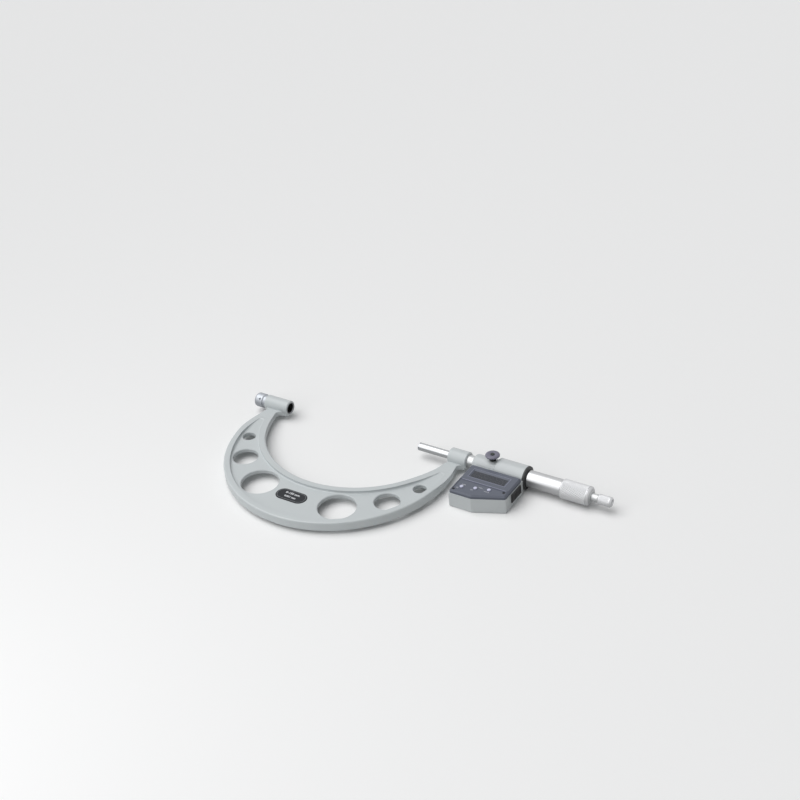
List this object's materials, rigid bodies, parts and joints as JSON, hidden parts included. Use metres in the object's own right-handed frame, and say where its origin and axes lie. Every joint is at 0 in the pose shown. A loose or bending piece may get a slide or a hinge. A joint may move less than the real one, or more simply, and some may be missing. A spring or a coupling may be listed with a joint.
{
  "type": "digital micrometer",
  "caption": "C-frame digital outside micrometer for interchangeable anvils, with display housing, clamp knob, knurled thimble and ratchet",
  "frame": {"origin": "centre of the anvil seat's mouth on the measuring axis", "axes": "+X along the measuring axis from the anvil seat to the ratchet, +Y away from the arch, +Z out of the display face"},
  "size_m": [0.3294, 0.1377, 0.023],
  "materials": {
    "frame_paint": "smooth light grey enamel on cast iron",
    "housing_paint": "smooth light grey enamel",
    "hard_steel": "ground hardened steel",
    "satin_chrome": "satin chrome",
    "thimble_chrome": "satin chrome with knurled grips",
    "carbide": "lapped carbide",
    "badge_black": "black anodised plate",
    "seal_black": "matt black plastic",
    "rubber_black": "soft black rubber",
    "panel_plastic": "blue-grey moulded plastic",
    "window_clear": "clear window",
    "lcd_grey": "dark display glass, switched off",
    "board_green": "circuit board",
    "brass": "plain brass",
    "battery_steel": "nickel-plated can",
    "knob_plastic": "grey plastic",
    "stem_black": "blackened steel",
    "screw_black": "blackened steel",
    "button_white": "pale plastic keys"
  },
  "bodies": {
    "frame_body": {"frame": "frame_paint", "anvil_bush": "hard_steel", "frame_badge": "badge_black", "front_sleeve": "satin_chrome", "rear_sleeve": "hard_steel", "adjusting_nut": "hard_steel", "housing": "housing_paint", "end_seal": "seal_black", "display_panel": "panel_plastic", "display_window": "window_clear", "display_module": "lcd_grey", "circuit_board": "board_green", "encoder_stator": "board_green", "battery_cell": "battery_steel", "battery_contact": "brass", "data_port": "seal_black", "clamp_pad": "brass", "panel_screws": "screw_black"},
    "encoder_rotor": {"encoder_rotor": "brass"},
    "spindle_body": {"spindle": "hard_steel", "spindle_tip": "carbide", "thimble": "thimble_chrome", "ratchet_stem": "satin_chrome"},
    "ratchet": {"ratchet_knob": "thimble_chrome"},
    "clamp": {"clamp_knob": "knob_plastic", "clamp_stem": "stem_black"},
    "anvil_cap": {"anvil_cap": "satin_chrome"},
    "button_1": {"button_1": "button_white"},
    "button_2": {"button_2": "button_white"},
    "button_3": {"button_3": "button_white"},
    "battery_cap": {"battery_cap": "seal_black"},
    "port_cover": {"port_cover": "rubber_black"}
  },
  "joints": [
    {"name": "thimble_turn", "type": "hinge", "parent": "frame_body", "child": "encoder_rotor", "pos_m": [0.204, 0, 0], "axis": [1, 0, 0], "range_deg": [0, 18000]},
    {"name": "spindle_slide", "type": "slide", "parent": "encoder_rotor", "child": "spindle_body", "axis": [1, 0, 0], "range_m": [0, 0.025]},
    {"name": "ratchet_turn", "type": "hinge", "parent": "spindle_body", "child": "ratchet", "pos_m": [0.29, 0, 0], "axis": [1, 0, 0], "continuous": true},
    {"name": "clamp_turn", "type": "hinge", "parent": "frame_body", "child": "clamp", "pos_m": [0.194, 0, 0.01], "axis": [0, 0, 1], "range_deg": [-70, 0]},
    {"name": "anvil_cap_off", "type": "slide", "parent": "frame_body", "child": "anvil_cap", "axis": [-1, 0, 0], "range_m": [0, 0.02]},
    {"name": "battery_cap_turn", "type": "hinge", "parent": "frame_body", "child": "battery_cap", "pos_m": [0.2078, -0.024, -0.009], "axis": [0, 0, -1], "range_deg": [0, 90]},
    {"name": "port_cover_out", "type": "slide", "parent": "frame_body", "child": "port_cover", "axis": [1, 0, 0], "range_m": [0, 0.012]},
    {"name": "button_1_press", "type": "slide", "parent": "frame_body", "child": "button_1", "axis": [0, 0, -1], "range_m": [0, 0.0004], "stiffness_N_per_m": 600},
    {"name": "button_2_press", "type": "slide", "parent": "frame_body", "child": "button_2", "axis": [0, 0, -1], "range_m": [0, 0.0004], "stiffness_N_per_m": 600},
    {"name": "button_3_press", "type": "slide", "parent": "frame_body", "child": "button_3", "axis": [0, 0, -1], "range_m": [0, 0.0004], "stiffness_N_per_m": 600}
  ],
  "couplings": [
    {"joint": "thimble_turn", "follows": "spindle_slide", "rad_per_m": 12566}
  ]
}
